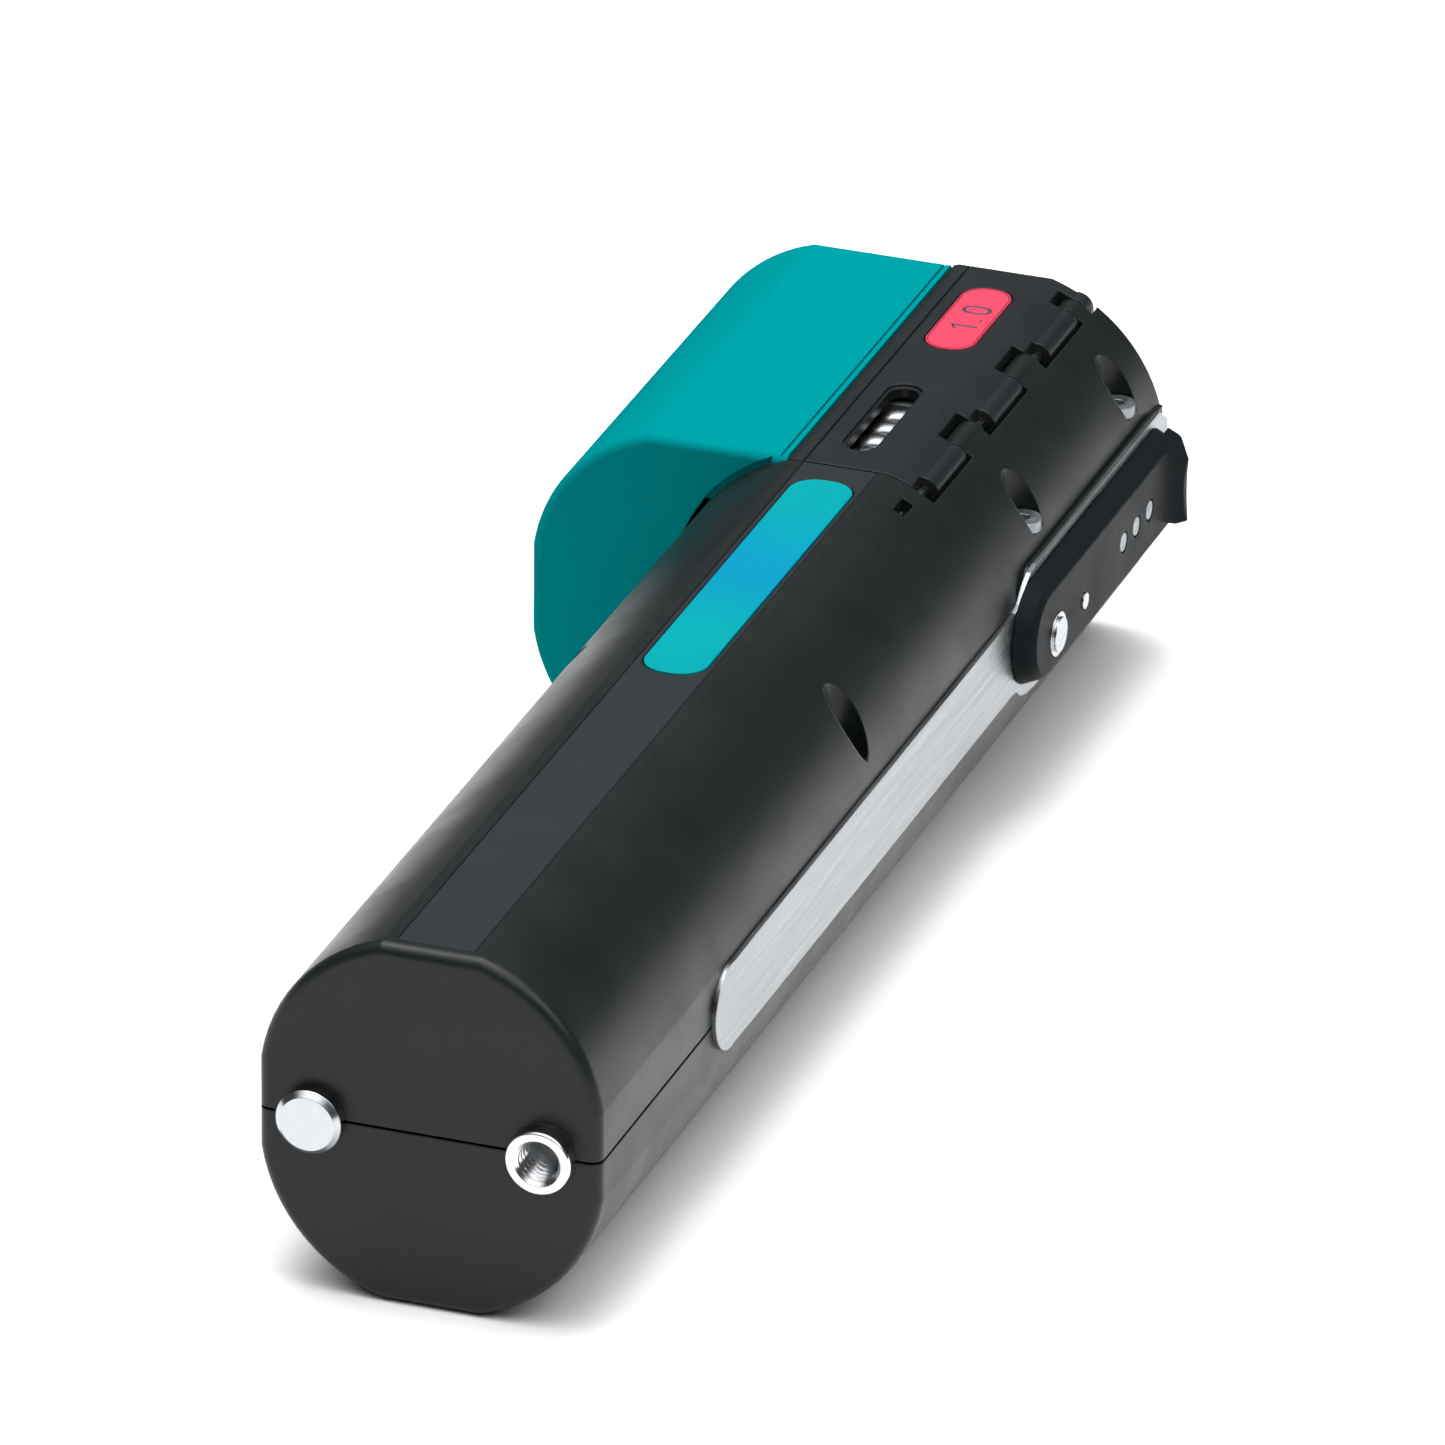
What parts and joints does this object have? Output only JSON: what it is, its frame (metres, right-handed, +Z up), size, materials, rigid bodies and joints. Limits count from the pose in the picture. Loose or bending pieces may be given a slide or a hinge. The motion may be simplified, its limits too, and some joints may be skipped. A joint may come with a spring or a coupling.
{
  "type": "battery wire crimping tool",
  "caption": "Slim battery hand tool with a round-sided body, a side magazine, a hinged head cover, a side lever and end contacts.",
  "frame": {"origin": "centre of the near end face, between the two end contacts", "axes": "+Y along the body to the wire entry, +X to the lever side, +Z up through the status window"},
  "size_m": [0.0897, 0.278, 0.0625],
  "materials": {
    "shell_black": "fine satin texture",
    "inlay_grey": "smooth satin",
    "window_teal": "translucent gloss",
    "label_coral": "gloss",
    "cover_black": "fine satin texture",
    "magazine_teal": "satin gloss",
    "plate_silver": "brushed",
    "lever_grey": "satin",
    "bright_steel": "turned and polished",
    "zinc_screw": "zinc plated",
    "spring_steel": "drawn wire",
    "tool_steel": "ground",
    "cell_blue": "shrink sleeve",
    "inner_plastic": "moulded",
    "contact_brass": "nickel-tinted",
    "board_green": "lacquered",
    "led_white": "clear",
    "gear_bronze": "sintered",
    "ferrule_red": "moulded",
    "spool_white": "moulded"
  },
  "bodies": {
    "housing": {"upper_shell": "shell_black", "lower_shell": "shell_black", "top_inlay": "inlay_grey", "status_window": "window_teal", "side_plate": "plate_silver", "front_plate": "shell_black", "wire_funnel": "tool_steel", "hinge_pin": "bright_steel", "case_screws": "zinc_screw", "contact_stud": "bright_steel", "charge_bush": "bright_steel", "battery_cells": "cell_blue", "battery_cradle": "inner_plastic", "battery_contacts": "contact_brass", "circuit_board": "board_green", "indicator_leds": "led_white", "motor": "tool_steel", "gearbox_housing": "tool_steel", "bearing_plate": "inner_plastic", "shaft_bearing": "bright_steel", "crimp_housing": "tool_steel", "die_guide": "tool_steel", "guide_rod": "bright_steel", "return_spring": "spring_steel", "belt_guide": "inner_plastic", "ferrule_belt": "ferrule_red", "sprocket_axle": "bright_steel", "feed_solenoid": "contact_brass", "start_switch": "inner_plastic"},
    "cover": {"head_cover": "cover_black", "size_label": "label_coral"},
    "lever": {"lever": "lever_grey", "lever_pivot": "bright_steel", "lever_pin": "bright_steel", "lip_rivets": "zinc_screw"},
    "magazine": {"magazine_case": "magazine_teal", "magazine_cap": "magazine_teal", "spool_axle": "bright_steel", "brake_spring": "spring_steel"},
    "spool": {"spool": "spool_white", "ferrule_coil": "ferrule_red"},
    "sprocket": {"feed_sprocket": "gear_bronze"},
    "plunger": {"feed_plunger": "bright_steel"},
    "cam": {"crimp_cam": "gear_bronze", "planet_carrier": "tool_steel"},
    "pinion": {"motor_pinion": "bright_steel"},
    "planet_1": {"planet_gear_1": "gear_bronze"},
    "planet_2": {"planet_gear_2": "gear_bronze"},
    "planet_3": {"planet_gear_3": "gear_bronze"},
    "indenter_1": {"indenter_1": "bright_steel"},
    "indenter_2": {"indenter_2": "bright_steel"},
    "indenter_3": {"indenter_3": "bright_steel"},
    "indenter_4": {"indenter_4": "bright_steel"},
    "carriage": {"strip_carriage": "inner_plastic"},
    "blade_upper": {"strip_blade_upper": "bright_steel"},
    "blade_lower": {"strip_blade_lower": "bright_steel"},
    "start_flap": {"start_flap": "bright_steel"}
  },
  "joints": [
    {"name": "cover_hinge", "type": "hinge", "parent": "housing", "child": "cover", "pos_m": [0.0129, 0.233, 0.0266], "axis": [0, 1, 0], "range_deg": [0, 95]},
    {"name": "lever_swing", "type": "hinge", "parent": "housing", "child": "lever", "pos_m": [0.03, 0.2065, -0.0005], "axis": [1, 0, 0], "range_deg": [0, 45]},
    {"name": "magazine_slide", "type": "slide", "parent": "housing", "child": "magazine", "axis": [0, 1, 0], "range_m": [0, 0.088]},
    {"name": "spool_spin", "type": "hinge", "parent": "magazine", "child": "spool", "pos_m": [-0.037, 0.229, 0], "axis": [1, 0, 0], "continuous": true},
    {"name": "sprocket_spin", "type": "hinge", "parent": "housing", "child": "sprocket", "pos_m": [0, 0.241, -0.0088], "axis": [0, 1, 0], "continuous": true},
    {"name": "plunger_slide", "type": "slide", "parent": "housing", "child": "plunger", "axis": [1, 0, 0], "range_m": [0, 0.003], "stiffness_N_per_m": 60},
    {"name": "crimp_cam_turn", "type": "hinge", "parent": "housing", "child": "cam", "pos_m": [0, 0.2, 0], "axis": [0, 1, 0], "range_deg": [0, 50]},
    {"name": "pinion_spin", "type": "hinge", "parent": "housing", "child": "pinion", "pos_m": [0, 0.15, 0], "axis": [0, 1, 0], "range_deg": [0, 225]},
    {"name": "planet_1_spin", "type": "hinge", "parent": "cam", "child": "planet_1", "pos_m": [0.0081, 0.151, 0], "axis": [0, 1, 0], "range_deg": [-140, 0]},
    {"name": "planet_2_spin", "type": "hinge", "parent": "cam", "child": "planet_2", "pos_m": [-0.00405, 0.151, 0.00702], "axis": [0, 1, 0], "range_deg": [-140, 0]},
    {"name": "planet_3_spin", "type": "hinge", "parent": "cam", "child": "planet_3", "pos_m": [-0.00405, 0.151, -0.00702], "axis": [0, 1, 0], "range_deg": [-140, 0]},
    {"name": "indenter_1_slide", "type": "slide", "parent": "housing", "child": "indenter_1", "axis": [-1, 0, 0], "range_m": [0, 0.0015]},
    {"name": "indenter_2_slide", "type": "slide", "parent": "housing", "child": "indenter_2", "axis": [0, 0, -1], "range_m": [0, 0.0015]},
    {"name": "indenter_3_slide", "type": "slide", "parent": "housing", "child": "indenter_3", "axis": [1, 0, 0], "range_m": [0, 0.0015]},
    {"name": "indenter_4_slide", "type": "slide", "parent": "housing", "child": "indenter_4", "axis": [0, 0, 1], "range_m": [0, 0.0015]},
    {"name": "carriage_slide", "type": "slide", "parent": "housing", "child": "carriage", "axis": [0, -1, 0], "range_m": [0, 0.007], "stiffness_N_per_m": 200, "deforming": ["return_spring"]},
    {"name": "blade_upper_slide", "type": "slide", "parent": "carriage", "child": "blade_upper", "axis": [0, 0, -1], "range_m": [0, 0.0022]},
    {"name": "blade_lower_slide", "type": "slide", "parent": "carriage", "child": "blade_lower", "axis": [0, 0, 1], "range_m": [0, 0.0022]},
    {"name": "start_flap_swing", "type": "hinge", "parent": "housing", "child": "start_flap", "pos_m": [0, 0.266, 0.0085], "axis": [-1, 0, 0], "range_deg": [0, 20], "stiffness_Nm_per_rad": 0.002}
  ],
  "couplings": [
    {"joint": "sprocket_spin", "follows": "spool_spin", "ratio": 2.7353},
    {"joint": "pinion_spin", "follows": "crimp_cam_turn", "ratio": 4.5},
    {"joint": "planet_1_spin", "follows": "crimp_cam_turn", "ratio": -2.8},
    {"joint": "planet_2_spin", "follows": "crimp_cam_turn", "ratio": -2.8},
    {"joint": "planet_3_spin", "follows": "crimp_cam_turn", "ratio": -2.8},
    {"joint": "indenter_1_slide", "follows": "crimp_cam_turn", "m_per_rad": 0.0017188},
    {"joint": "indenter_2_slide", "follows": "crimp_cam_turn", "m_per_rad": 0.0017188},
    {"joint": "indenter_3_slide", "follows": "crimp_cam_turn", "m_per_rad": 0.0017188},
    {"joint": "indenter_4_slide", "follows": "crimp_cam_turn", "m_per_rad": 0.0017188},
    {"joint": "blade_upper_slide", "follows": "crimp_cam_turn", "m_per_rad": 0.002521},
    {"joint": "blade_lower_slide", "follows": "crimp_cam_turn", "m_per_rad": 0.002521}
  ]
}
